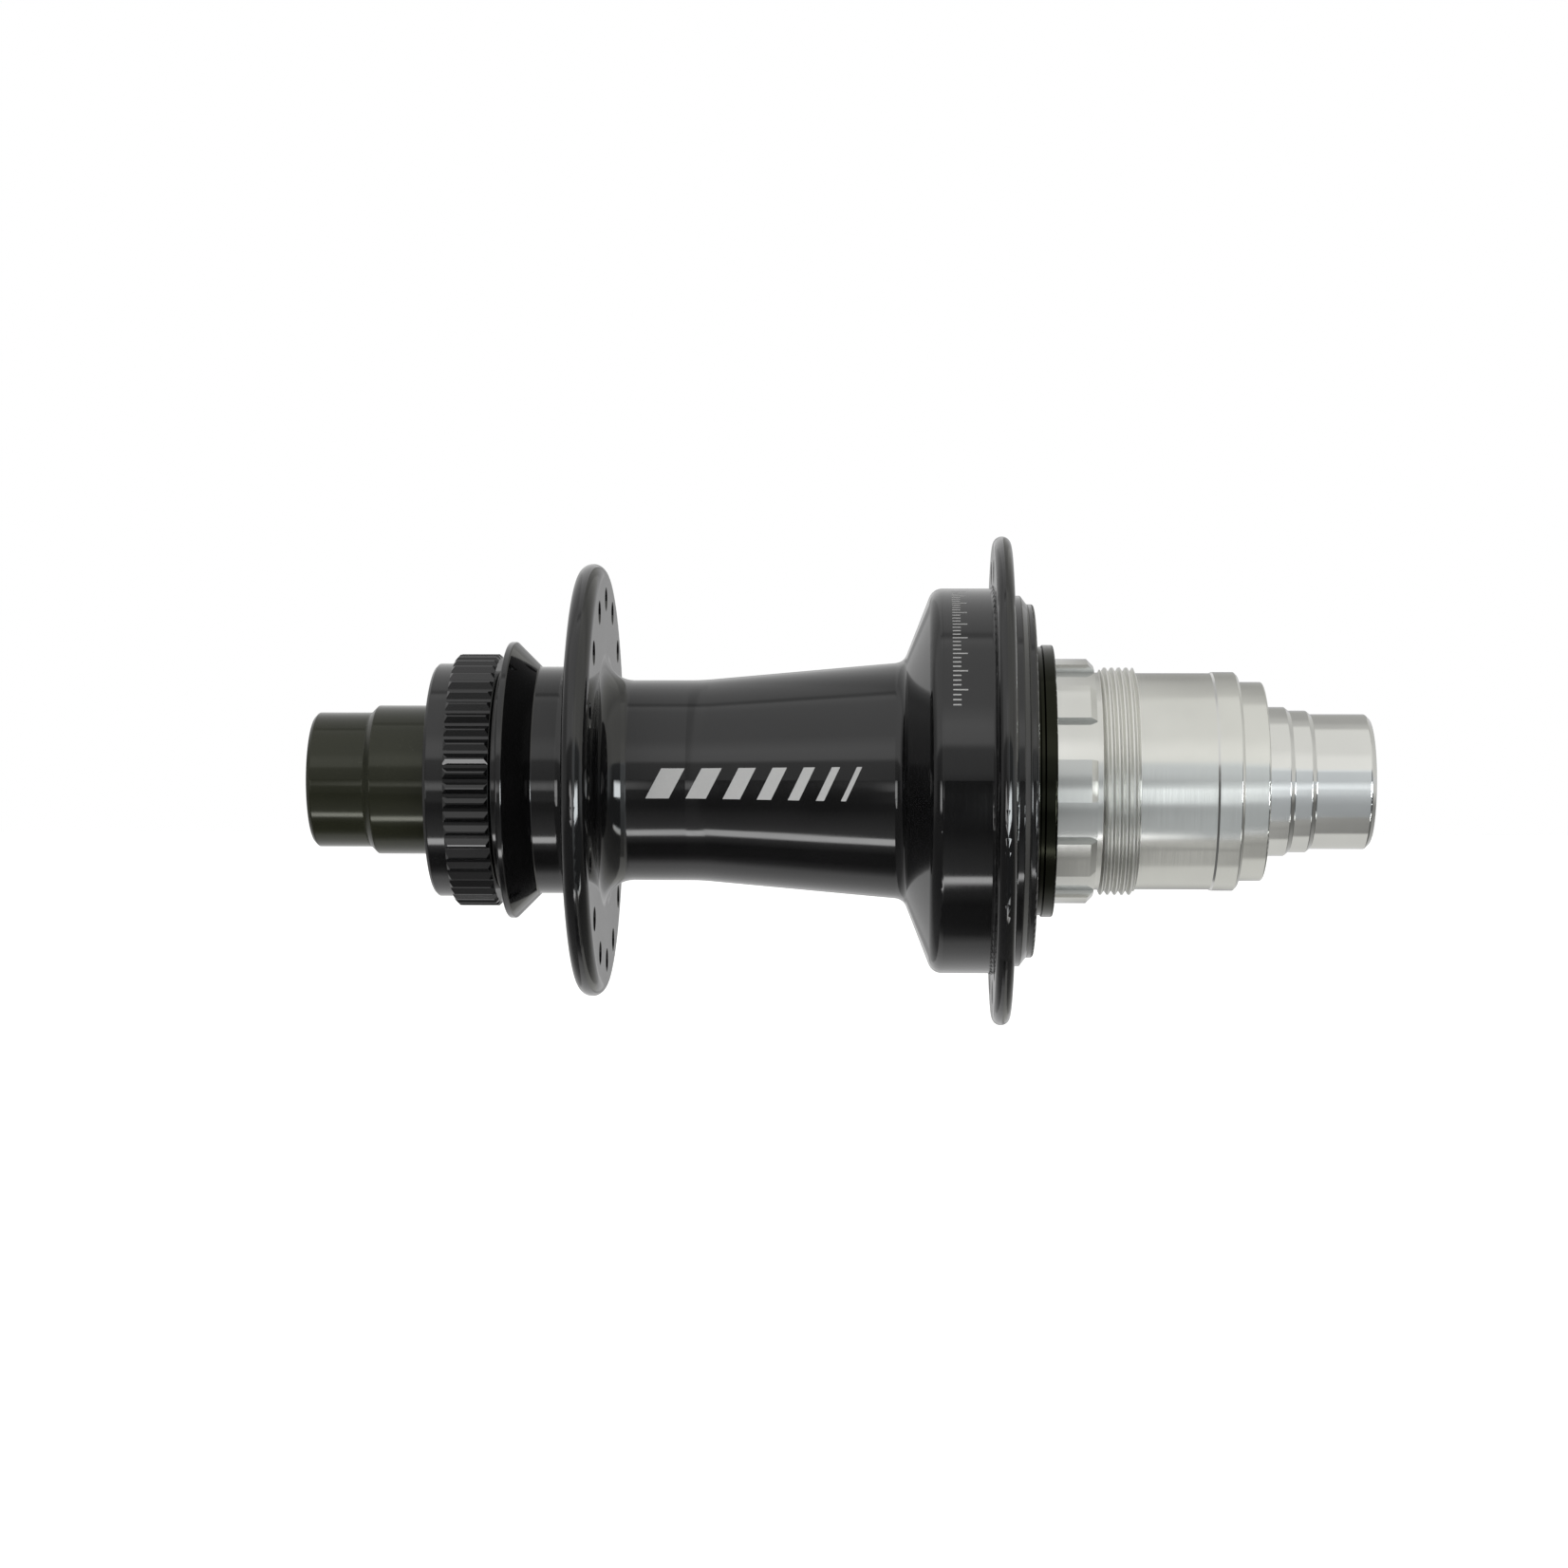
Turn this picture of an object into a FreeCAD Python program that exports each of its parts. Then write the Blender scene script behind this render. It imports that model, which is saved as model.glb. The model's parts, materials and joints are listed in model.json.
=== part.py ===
import FreeCAD, Part
import math
import os

# Rear bicycle hub: 148 mm wide, for a 12 mm through axle, with a splined disc mount and a ratcheting freehub.
# The hub's axis is X and the origin is the middle of the axle. The disc side is at -X, the drive side at +X.
# Sizes are in millimetres. An angle around the axis runs from -Y towards +Z, the way that pedalling turns it.

# ---- driving dimensions -------------------------------------------------------------------------
HALF_WIDTH = 74.0  # over the end caps, 148 / 2
THRU_BORE_R = 6.05  # 12 mm thru axle
FIT = 0.01  # radial gap of parts that are pressed together
RUN = 0.06  # radial gap of parts that turn past each other
OVERCUT = 0.06  # how far a thread's cutter stands out of the surface that it cuts
SINK = 0.02  # how far splines are set into the bar that carries them

# hub shell, outside
BOSS_FACE_X, BOSS_R = -56.7, 16.45
DISC_SPLINE_R, DISC_SPLINE_START_X, DISC_SPLINE_END_X = 17.75, -53.75, -47.6
DISC_SPLINE_COUNT, DISC_SPLINE_PHASE, DISC_SPLINE_ROOT_R = 54, 2.75, 17.15
DISC_SPLINE_LEAD = 0.45  # chamfer at both ends of the spline
RELIEF_R = 15.4  # groove between the spline and the lip
LIP_R, LIP_START_X, LIP_END_X = 19.5, -46.4, -45.5
NECK_R = 16.0
LEFT_FLANGE_X, LEFT_FLANGE_R, LEFT_FLANGE_HALF = -34.65, 30.45, 1.75
BARREL_R, TAPER_START_X, TAPER_END_X, TAPER_R = 14.1, -19.5, 9.0, 16.65
SHOULDER_X, SHELL_R = 13.05, 27.0
DRIVE_FLANGE_X, DRIVE_FLANGE_R, DRIVE_FLANGE_HALF = 22.65, 34.25, 1.25
COLLAR_R, COLLAR_END_X, RIM_R, SHELL_FACE_X = 26.0, 25.2, 24.8, 27.1

# spoke holes: 32 in all
SPOKES_PER_FLANGE, SPOKE_HOLE_R, SPOKE_SINK = 16, 1.3, 0.45
LEFT_PITCH_R, LEFT_SPOKE_PHASE = 25.5, 19.8
DRIVE_PITCH_R, DRIVE_SPOKE_PHASE = 29.75, 8.55

# lockring thread in the boss, and the cassette thread on the freehub
LOCKRING_THREAD_R, LOCKRING_THREAD_END_X = 14.5, -51.0
THREAD_PITCH, THREAD_DEPTH = 1.0, 0.55

# bearings, of 17 mm bore: "land" holds the radii of the inner and outer races beside the ball groove
AXLE_SEAT_R = 8.5
SMALL_BEARING = {"outer": 13.0, "land": (10.0, 11.6), "width": 5.0, "ball": 1.19, "balls": 16}
LARGE_BEARING = {"outer": 15.0, "land": (10.4, 13.1), "width": 7.0, "ball": 1.98, "balls": 12}
SEAL_THICKNESS, SEAL_INSET = 0.4, 0.25
CAGE_WALL, CAGE_GAP = 0.35, 0.3
LEFT_BEARING_X = -50.0  # each bearing's face nearest the disc side
DRIVE_BEARING_X = 3.5
FREEHUB_INNER_BEARING_X = 13.5
FREEHUB_OUTER_BEARING_X = 53.0

# axle and its end caps
AXLE_BORE_R, AXLE_SHOULDER_R = 6.3, 9.8
AXLE_LEFT_X, AXLE_RIGHT_X = -54.0, 62.0
CAP_SOCKET_R = 8.56
CAP_STUB_R, CAP_BODY_R = 9.5, 10.5
DRIVE_CAP_STUB_R, DRIVE_CAP_STEP_R = 9.45, 9.95
O_RING_R, O_RING_OFFSET, O_RING_GROOVE = 0.45, 2.0, 1.2

# ratchet and pawls
RATCHET_TEETH, RATCHET_TIP_R, RATCHET_ROOT_R, RATCHET_OUTER_R = 54, 19.05, 20.05, 22.5
RATCHET_START_X, RATCHET_END_X = 14.4, 21.6
RATCHET_FACE_ANGLE = 1.93  # how far round a tooth's drive face leans
RATCHET_PHASE = 21.7
PAWL_PIVOT_R, PAWL_HEEL_R, PAWL_START_X, PAWL_END_X = 16.7, 1.5, 15.0, 21.0
PAWL_ANGLES = {"a1": 0, "a2": 120, "a3": 240, "b1": 63.333, "b2": 183.333, "b3": 303.333}

# freehub
CARRIER_R, CARRIER_START_X, CARRIER_END_X = 18.5, 12.3, 24.5
SEAL_SEAT_R, SEAL_SEAT_END_X, SEAL_DISC_R, SEAL_FACE_X = 17.25, 29.85, 19.1, 27.05
CASSETTE_SPLINE_R, CASSETTE_ROOT_R, CASSETTE_SPLINE_END_X = 17.15, 16.1, 35.4
CASSETTE_SPLINE_COUNT, CASSETTE_SPLINE_CHAMFER = 9, 0.9
THREAD_NECK_R, CASSETTE_THREAD_R = 15.25, 15.95
THREAD_START_X, THREAD_END_X = 36.5, 41.0
PILOT_R, LAND_R, LAND_START_X, LAND_END_X = 15.17, 15.33, 52.0, 55.4
NOSE_R, NOSE_END_X = 13.95, 59.0
FREEHUB_BORE_R = 11.9

V = FreeCAD.Vector
ORIGIN, AXIS = V(0, 0, 0), V(1, 0, 0)


# ---- shape helpers ------------------------------------------------------------------------------
def rounded_wire(corners, place):
    """A closed wire through (u, v) or (u, v, radius) corners, each radius a tangent arc in its corner."""
    flat = [(c[0], c[1], c[2] if len(c) > 2 else 0.0) for c in corners]
    stretches = []
    for i, (u, v, radius) in enumerate(flat):
        here = V(u, v, 0)
        back = V(*flat[i - 1][:2], 0) - here
        ahead = V(*flat[(i + 1) % len(flat)][:2], 0) - here
        if not radius:
            stretches.append((here, here, here))
            continue
        half_turn = back.getAngle(ahead) / 2
        back.normalize()
        ahead.normalize()
        reach = radius / math.tan(half_turn)
        middle = back + ahead
        middle.normalize()
        top = here + middle * (radius / math.sin(half_turn) - radius)
        stretches.append((here + back * reach, top, here + ahead * reach))
    edges = []
    for i, (start, top, end) in enumerate(stretches):
        if (end - start).Length > 1e-6:
            edges.append(Part.Arc(place(start), place(top), place(end)).toShape())
        following = stretches[(i + 1) % len(stretches)][0]
        if (following - end).Length > 1e-6:
            edges.append(Part.LineSegment(place(end), place(following)).toShape())
    return Part.Wire(edges)


def turned(corners):
    """A solid of revolution about the hub's axis from closed (x, radius[, corner radius]) points."""
    wire = rounded_wire(corners, lambda p: V(p.x, -p.y, 0))
    return Part.Face(wire).revolve(ORIGIN, AXIS, 360)


def tube(x0, x1, inner, outer, chamfer=0.0):
    """A plain ring, with its outer edges chamfered if asked."""
    if not chamfer:
        return turned([(x0, inner), (x1, inner), (x1, outer), (x0, outer)])
    low = outer - chamfer
    start, end = x0 + chamfer, x1 - chamfer
    return turned([(x0, inner), (x1, inner), (x1, low), (end, outer), (start, outer), (x0, low)])


def polar(radius, angle):
    """The point at an angle around the axis, in the plane x = 0."""
    turn = math.radians(angle)
    return V(0, -radius * math.cos(turn), radius * math.sin(turn))


def arc(radius, start, end):
    """An arc about the hub's axis between two angles."""
    points = [polar(radius, a) for a in (start, (start + end) / 2, end)]
    return Part.Arc(*points).toShape()


def splined_bar(count, root_r, tip_r, root_gap, tip_land, phase, x0, x1):
    """A bar with straight splines. The root gap and tip land are angles, and phase is a tooth's centre."""
    pitch = 360 / count
    edges = []
    for i in range(count):
        centre = phase + i * pitch
        tip_start, tip_end = centre - tip_land / 2, centre + tip_land / 2
        root_start, root_end = centre + (pitch - root_gap) / 2, centre + (pitch + root_gap) / 2
        next_tip = centre + pitch - tip_land / 2
        edges.append(arc(tip_r, tip_start, tip_end))
        edges.append(Part.LineSegment(polar(tip_r, tip_end), polar(root_r, root_start)).toShape())
        edges.append(arc(root_r, root_start, root_end))
        edges.append(Part.LineSegment(polar(root_r, root_end), polar(tip_r, next_tip)).toShape())
    bar = Part.Face(Part.Wire(edges)).extrude(V(x1 - x0, 0, 0))
    bar.translate(V(x0, 0, 0))
    return bar


def thread_groove(radius, depth, x0, x1, outwards):
    """A helical V groove of one pitch, cut into a bar from outside, or into a bore from inside."""
    side = 1 if outwards else -1
    half_mouth, half_floor = THREAD_PITCH * 0.44, THREAD_PITCH * 0.05
    helix = Part.makeHelix(THREAD_PITCH, x1 - x0, radius)
    mouth, floor = radius - side * OVERCUT, radius + side * depth
    section = [(mouth, -half_mouth), (floor, -half_floor), (floor, half_floor), (mouth, half_mouth)]
    corners = [V(u, 0, v) for u, v in section]
    profile = Part.Wire(Part.makePolygon(corners + corners[:1]).Edges)
    groove = Part.Wire(helix).makePipeShell([profile], True, True)
    if groove.Volume < 0:
        groove.reverse()
    groove.rotate(ORIGIN, V(0, 1, 0), 90)
    groove.translate(V(x0, 0, 0))
    return groove


def around(shape, angle):
    """A copy of a shape turned about the hub's axis in the direction of pedalling."""
    turned_copy = shape.copy()
    turned_copy.rotate(ORIGIN, AXIS, -angle)
    return turned_copy


def spoke_holes(pitch_r, phase, x, half_thickness):
    """Cutters for one flange's spoke holes, countersunk on both faces."""
    start = x - half_thickness - 1
    drill = Part.makeCylinder(SPOKE_HOLE_R, 2 * half_thickness + 2, V(start, -pitch_r, 0), AXIS)
    wide = SPOKE_HOLE_R + SPOKE_SINK
    for side in (-1, 1):
        mouth = V(x + side * half_thickness, -pitch_r, 0)
        drill = drill.fuse(Part.makeCone(wide, SPOKE_HOLE_R, SPOKE_SINK, mouth, V(-side, 0, 0)))
        drill = drill.fuse(Part.makeCylinder(wide, 1, mouth, V(side, 0, 0)))
    step = 360 / SPOKES_PER_FLANGE
    return [around(drill, phase + i * step) for i in range(SPOKES_PER_FLANGE)]


# ---- hub shell ----------------------------------------------------------------------------------
def shell_outline():
    """The shell's section: along the inside from the disc end, then back along the outside."""
    left_bearing_end = LEFT_BEARING_X + SMALL_BEARING["width"]
    drive_bearing_end = DRIVE_BEARING_X + LARGE_BEARING["width"]
    small_seat, large_seat = SMALL_BEARING["outer"] + FIT, LARGE_BEARING["outer"] + FIT
    ratchet_seat = RATCHET_OUTER_R + FIT
    inside = [
        (BOSS_FACE_X, LOCKRING_THREAD_R + 0.5),
        (BOSS_FACE_X + 0.5, LOCKRING_THREAD_R),
        (LOCKRING_THREAD_END_X, LOCKRING_THREAD_R),
        (LOCKRING_THREAD_END_X, small_seat),
        (left_bearing_end, small_seat),
        (left_bearing_end, 12.0),
        (-3.0, 12.0, 3),
        (DRIVE_BEARING_X - 2.0, 13.4, 3),
        (DRIVE_BEARING_X, 13.4),
        (DRIVE_BEARING_X, large_seat),
        (drive_bearing_end, large_seat),
        (drive_bearing_end + 1.1, 16.0),
        (drive_bearing_end + 1.1, 20.3, 0.6),
        (RATCHET_START_X, 20.3),
        (RATCHET_START_X, ratchet_seat),
        (SHELL_FACE_X, ratchet_seat),
    ]
    drive_left, drive_right = DRIVE_FLANGE_X - DRIVE_FLANGE_HALF, DRIVE_FLANGE_X + DRIVE_FLANGE_HALF
    left_left, left_right = LEFT_FLANGE_X - LEFT_FLANGE_HALF, LEFT_FLANGE_X + LEFT_FLANGE_HALF
    outside = [
        (SHELL_FACE_X, RIM_R, 0.4),
        (COLLAR_END_X + 0.9, RIM_R, 0.3),
        (COLLAR_END_X, COLLAR_R, 0.2),
        (drive_right, COLLAR_R, 0.5),
        (drive_right, DRIVE_FLANGE_R, 1.24),
        (drive_left, DRIVE_FLANGE_R, 1.24),
        (drive_left, SHELL_R, 0.5),
        (SHOULDER_X, SHELL_R, 2.0),
        (TAPER_END_X, TAPER_R, 1.8),
        (TAPER_START_X, BARREL_R, 30),
        (left_right, BARREL_R, 3.9),
        (left_right, LEFT_FLANGE_R, 1.74),
        (left_left, LEFT_FLANGE_R, 1.74),
        (left_left, NECK_R, 2.2),
        (LIP_END_X + LIP_R - NECK_R, NECK_R, 0.5),
        (LIP_END_X, LIP_R, 0.35),
        (LIP_START_X, LIP_R, 0.3),
        (LIP_START_X, RELIEF_R, 0.2),
        (DISC_SPLINE_END_X, RELIEF_R, 0.2),
        (DISC_SPLINE_END_X, BOSS_R),
        (BOSS_FACE_X + 0.45, BOSS_R, 0.2),
        (BOSS_FACE_X, BOSS_R - 0.45, 0.2),
    ]
    return inside + outside


def make_hub_shell():
    shell = turned(shell_outline())
    pitch = 360 / DISC_SPLINE_COUNT
    splines = splined_bar(
        DISC_SPLINE_COUNT, DISC_SPLINE_ROOT_R, DISC_SPLINE_R, pitch * 0.22, pitch * 0.1,
        DISC_SPLINE_PHASE, DISC_SPLINE_START_X, DISC_SPLINE_END_X,
    )
    envelope = turned([
        (DISC_SPLINE_START_X, BOSS_R - 1.0),
        (DISC_SPLINE_END_X, BOSS_R - 1.0),
        (DISC_SPLINE_END_X, DISC_SPLINE_R - DISC_SPLINE_LEAD),
        (DISC_SPLINE_END_X - DISC_SPLINE_LEAD, DISC_SPLINE_R + 0.01),
        (DISC_SPLINE_START_X + DISC_SPLINE_LEAD, DISC_SPLINE_R + 0.01),
        (DISC_SPLINE_START_X, DISC_SPLINE_R - DISC_SPLINE_LEAD),
    ])
    shell = shell.fuse(splines.common(envelope))
    cutters = spoke_holes(LEFT_PITCH_R, LEFT_SPOKE_PHASE, LEFT_FLANGE_X, LEFT_FLANGE_HALF)
    cutters += spoke_holes(DRIVE_PITCH_R, DRIVE_SPOKE_PHASE, DRIVE_FLANGE_X, DRIVE_FLANGE_HALF)
    cutters.append(thread_groove(
        LOCKRING_THREAD_R, THREAD_DEPTH, BOSS_FACE_X - 0.5, LOCKRING_THREAD_END_X - 0.9, True,
    ))
    return shell.cut(cutters)


def make_ratchet_ring():
    """A steel ring with internal saw teeth. Each drive face faces against the pedalling direction."""
    pitch = 360 / RATCHET_TEETH
    points = []
    for i in range(RATCHET_TEETH):
        tip = RATCHET_PHASE + i * pitch
        points.append(polar(RATCHET_TIP_R, tip))
        points.append(polar(RATCHET_TIP_R, tip + 0.5))
        points.append(polar(RATCHET_ROOT_R, tip + pitch - RATCHET_FACE_ANGLE))
    hole = Part.Face(Part.makePolygon(points + points[:1]))
    hole = hole.extrude(V(RATCHET_END_X - RATCHET_START_X, 0, 0))
    hole.translate(V(RATCHET_START_X, 0, 0))
    return tube(RATCHET_START_X, RATCHET_END_X, 18.0, RATCHET_OUTER_R, 0.4).cut(hole)


def make_shell_labyrinth():
    """The shell's half of the labyrinth seal: a ring with a groove for the freehub's lip."""
    groove_end = 25.0
    return turned([
        (22.0, 19.6), (26.6, 19.6), (26.6, 20.1), (groove_end, 20.1), (groove_end, 21.3), (26.6, 21.3),
        (26.6, RATCHET_OUTER_R), (22.0, RATCHET_OUTER_R),
    ])


# ---- bearings -----------------------------------------------------------------------------------
def ball_circle_r(kind):
    return sum(kind["land"]) / 2


def groove_cutter(kind, x):
    """The torus that the balls run in, a little larger than a ball."""
    return Part.makeTorus(ball_circle_r(kind), kind["ball"] + RUN, V(x, 0, 0), AXIS)


def make_bearing(kind, start):
    """A sealed ball bearing as five pieces. Start is its face nearest the disc side."""
    end, centre = start + kind["width"], start + kind["width"] / 2
    inner_land, outer_land = kind["land"]
    groove = groove_cutter(kind, centre)
    inner = tube(start, end, AXLE_SEAT_R + FIT, inner_land).cut(groove)
    outer = tube(start, end, outer_land, kind["outer"], 0.3).cut(groove)
    step = 360 / kind["balls"]
    first_ball = Part.makeSphere(kind["ball"], V(centre, -ball_circle_r(kind), 0))
    first_pocket = Part.makeSphere(kind["ball"] + RUN, V(centre, -ball_circle_r(kind), 0))
    balls = Part.makeCompound([around(first_ball, i * step) for i in range(kind["balls"])])
    half_cage = kind["ball"] + CAGE_WALL
    cage = tube(centre - half_cage, centre + half_cage, inner_land + CAGE_GAP, outer_land - CAGE_GAP)
    cage = cage.cut([around(first_pocket, i * step) for i in range(kind["balls"])])
    seal_inner, seal_outer = inner_land + RUN, outer_land - FIT
    seals = [
        tube(at, at + SEAL_THICKNESS, seal_inner, seal_outer)
        for at in (start + SEAL_INSET, end - SEAL_INSET - SEAL_THICKNESS)
    ]
    return {
        "inner_race": inner,
        "outer_race": outer,
        "balls": balls,
        "cage": cage,
        "seals": Part.makeCompound(seals),
    }


# ---- axle, spacers and end caps -----------------------------------------------------------------
def o_ring_centre(side):
    end = AXLE_RIGHT_X if side > 0 else AXLE_LEFT_X
    return end - side * O_RING_OFFSET


def make_axle():
    left_bearing_end = LEFT_BEARING_X + SMALL_BEARING["width"]
    axle = turned([
        (AXLE_LEFT_X, AXLE_BORE_R), (AXLE_RIGHT_X, AXLE_BORE_R),
        (AXLE_RIGHT_X, AXLE_SEAT_R - 0.4), (AXLE_RIGHT_X - 0.4, AXLE_SEAT_R),
        (DRIVE_BEARING_X, AXLE_SEAT_R),
        (DRIVE_BEARING_X, AXLE_SHOULDER_R), (-6.0, AXLE_SHOULDER_R, 4), (-10.0, 9.2, 4),
        (-34.0, 9.2, 4), (-38.0, AXLE_SHOULDER_R, 4), (left_bearing_end, AXLE_SHOULDER_R),
        (left_bearing_end, AXLE_SEAT_R),
        (AXLE_LEFT_X + 0.4, AXLE_SEAT_R), (AXLE_LEFT_X, AXLE_SEAT_R - 0.4),
    ])
    for side in (-1, 1):
        centre = o_ring_centre(side)
        axle = axle.cut(tube(centre - O_RING_GROOVE / 2, centre + O_RING_GROOVE / 2, 7.62, AXLE_SEAT_R + 0.5))
    return axle


def make_o_ring(side):
    return Part.makeTorus(CAP_SOCKET_R - FIT - O_RING_R, O_RING_R, V(o_ring_centre(side), 0, 0), AXIS)


def make_left_cap():
    face, socket_end = -HALF_WIDTH, AXLE_LEFT_X - 0.1
    return turned([
        (face, THRU_BORE_R + 0.5), (face + 0.5, THRU_BORE_R),
        (socket_end, THRU_BORE_R), (socket_end, CAP_SOCKET_R), (LEFT_BEARING_X, CAP_SOCKET_R),
        (LEFT_BEARING_X, 9.9), (LEFT_BEARING_X - 0.8, CAP_BODY_R),
        (-65.0, CAP_BODY_R, 0.3), (-66.0, CAP_STUB_R, 0.3),
        (face + 0.55, CAP_STUB_R, 0.3), (face, CAP_STUB_R - 0.55, 0.3),
    ])


def make_drive_cap():
    face, start = HALF_WIDTH, FREEHUB_OUTER_BEARING_X + SMALL_BEARING["width"]
    socket_end = AXLE_RIGHT_X + 0.1
    return turned([
        (start, CAP_SOCKET_R), (socket_end, CAP_SOCKET_R), (socket_end, THRU_BORE_R),
        (face - 0.5, THRU_BORE_R), (face, THRU_BORE_R + 0.5),
        (face, DRIVE_CAP_STUB_R - 0.7, 0.4), (face - 0.7, DRIVE_CAP_STUB_R, 0.4),
        (65.7, DRIVE_CAP_STUB_R, 0.2), (65.1, DRIVE_CAP_STEP_R, 0.2),
        (62.7, DRIVE_CAP_STEP_R, 0.2), (62.1, 10.45, 0.2),
        (start + 0.5, 10.45), (start, 9.9),
    ])


# ---- freehub ------------------------------------------------------------------------------------
def in_pawl_frame(points):
    """Points beside a pawl's pivot, as (round, out): round towards the tip, out from the axis."""
    return [V(0, -PAWL_PIVOT_R - out, along) for along, out in points]


def extruded(wire, x0, x1):
    """A bar along the hub's axis, between two places on it, from a wire in the plane x = 0."""
    solid = Part.Face(wire).extrude(V(x1 - x0, 0, 0))
    solid.translate(V(x0, 0, 0))
    return solid


def make_pawl(angle):
    """One steel pawl, pressed in so that its tip just clears the teeth, as when coasting."""
    pivot = V(PAWL_START_X, -PAWL_PIVOT_R, 0)
    heel = Part.makeCylinder(PAWL_HEEL_R, PAWL_END_X - PAWL_START_X, pivot, AXIS)
    outline = in_pawl_frame([(0, 1.5), (5.1, 0.78), (7.0, 0.88), (6.72, -0.9), (4.5, -1.25), (0, -1.5)])
    body = extruded(Part.makePolygon(outline + outline[:1]), PAWL_START_X, PAWL_END_X)
    return around(heel.fuse(body).removeSplitter(), angle)


def make_pawl_spring(angle):
    """One hairpin leaf spring, from the pocket's floor to the pawl's underside."""
    low, high, bend = in_pawl_frame([(2.2, -2.47), (3.2, -1.41), (7.035, -2.14)])
    low_end, high_end = in_pawl_frame([(6.7, -2.47), (6.7, -1.81)])
    low_in, high_in, bend_in = in_pawl_frame([(2.2, -2.23), (3.2, -1.65), (6.785, -2.14)])
    low_in_end, high_in_end = in_pawl_frame([(6.7, -2.23), (6.7, -2.05)])
    edges = [
        Part.LineSegment(low, low_end).toShape(),
        Part.Arc(low_end, bend, high_end).toShape(),
        Part.LineSegment(high_end, high).toShape(),
        Part.LineSegment(high, high_in).toShape(),
        Part.LineSegment(high_in, high_in_end).toShape(),
        Part.Arc(high_in_end, bend_in, low_in_end).toShape(),
        Part.LineSegment(low_in_end, low_in).toShape(),
        Part.LineSegment(low_in, low).toShape(),
    ]
    return around(extruded(Part.Wire(edges), PAWL_START_X + 1.0, PAWL_END_X - 1.0), angle)


def pawl_pocket(angle):
    """The cutter for one pawl: a round heel seat, and a pocket with room for the spring below."""
    start, end = PAWL_START_X - 0.1, PAWL_END_X + 0.1
    seat = Part.makeCylinder(PAWL_HEEL_R + RUN, end - start, V(start, -PAWL_PIVOT_R, 0), AXIS)
    outline = in_pawl_frame([(-0.7, 3.0), (-0.7, 0.9), (0.3, -1.7), (1.8, -2.48), (7.3, -2.48), (7.3, 3.0)])
    return around(seat.fuse(extruded(Part.makePolygon(outline + outline[:1]), start, end)), angle)


def freehub_outline():
    """The freehub body's section: along the inside from the pawl end, then back along the outside."""
    seat_r = SMALL_BEARING["outer"] + FIT
    inner_end = FREEHUB_INNER_BEARING_X + SMALL_BEARING["width"]
    inside = [
        (CARRIER_START_X, seat_r + 0.3), (CARRIER_START_X + 0.3, seat_r),
        (inner_end, seat_r), (inner_end, FREEHUB_BORE_R),
        (FREEHUB_OUTER_BEARING_X, FREEHUB_BORE_R), (FREEHUB_OUTER_BEARING_X, seat_r),
        (NOSE_END_X, seat_r),
    ]
    outside = [
        (NOSE_END_X, NOSE_R, 0.3), (LAND_END_X, NOSE_R),
        (LAND_END_X, LAND_R - 0.4, 0.15), (LAND_END_X - 0.4, LAND_R, 0.15),
        (LAND_START_X, LAND_R), (LAND_START_X - 0.3, PILOT_R),
        (THREAD_END_X + 0.3, PILOT_R), (THREAD_END_X, CASSETTE_THREAD_R),
        (THREAD_START_X, CASSETTE_THREAD_R), (THREAD_START_X - 0.3, THREAD_NECK_R),
        (CASSETTE_SPLINE_END_X, THREAD_NECK_R), (CASSETTE_SPLINE_END_X, CASSETTE_ROOT_R),
        (SEAL_SEAT_END_X, CASSETTE_ROOT_R), (SEAL_SEAT_END_X, SEAL_SEAT_R),
        (CARRIER_END_X, SEAL_SEAT_R), (CARRIER_END_X, CARRIER_R, 0.2),
        (CARRIER_START_X, CARRIER_R, 0.5),
    ]
    return inside + outside


def circlip_groove():
    return tube(12.65, 13.45, 10.0, SMALL_BEARING["outer"] + 0.6)


def make_freehub_body():
    body = turned(freehub_outline())
    pitch = 360 / CASSETTE_SPLINE_COUNT
    start, end = SEAL_SEAT_END_X - 0.5, CASSETTE_SPLINE_END_X
    splines = splined_bar(
        CASSETTE_SPLINE_COUNT, CASSETTE_ROOT_R - SINK, CASSETTE_SPLINE_R, pitch / 2 + 0.5, pitch / 2 - 0.5,
        0, start, end,
    )
    envelope = turned([
        (start, CASSETTE_ROOT_R - 1.0),
        (end, CASSETTE_ROOT_R - 1.0),
        (end, CASSETTE_SPLINE_R - CASSETTE_SPLINE_CHAMFER),
        (end - CASSETTE_SPLINE_CHAMFER, CASSETTE_SPLINE_R + 0.01),
        (start, CASSETTE_SPLINE_R + 0.01),
    ])
    body = body.fuse(splines.common(envelope))
    cutters = [pawl_pocket(angle) for angle in PAWL_ANGLES.values()]
    cutters.append(circlip_groove())
    thread = thread_groove(CASSETTE_THREAD_R, THREAD_DEPTH, THREAD_START_X - 0.4, THREAD_END_X + 0.4, False)
    cutters.append(thread)
    return body.cut(cutters)


def make_freehub_labyrinth():
    """The dark disc beside the splines, with a thin flange and a lip that runs in the shell's groove."""
    seat, waist, step = SEAL_SEAT_R + FIT, SEAL_DISC_R - 0.25, SEAL_DISC_R + 0.15
    return turned([
        (CARRIER_END_X, seat), (SEAL_SEAT_END_X, seat), (SEAL_SEAT_END_X, SEAL_DISC_R, 0.3),
        (28.3, SEAL_DISC_R, 0.1), (28.1, waist), (27.7, waist), (27.5, step), (SEAL_FACE_X, step),
        (SEAL_FACE_X, 22.0, 0.15), (26.8, 22.0),
        (26.8, 21.0), (25.3, 21.0), (25.3, 20.4), (26.8, 20.4),
        (26.8, 19.2), (CARRIER_END_X, 19.2),
    ])


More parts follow.
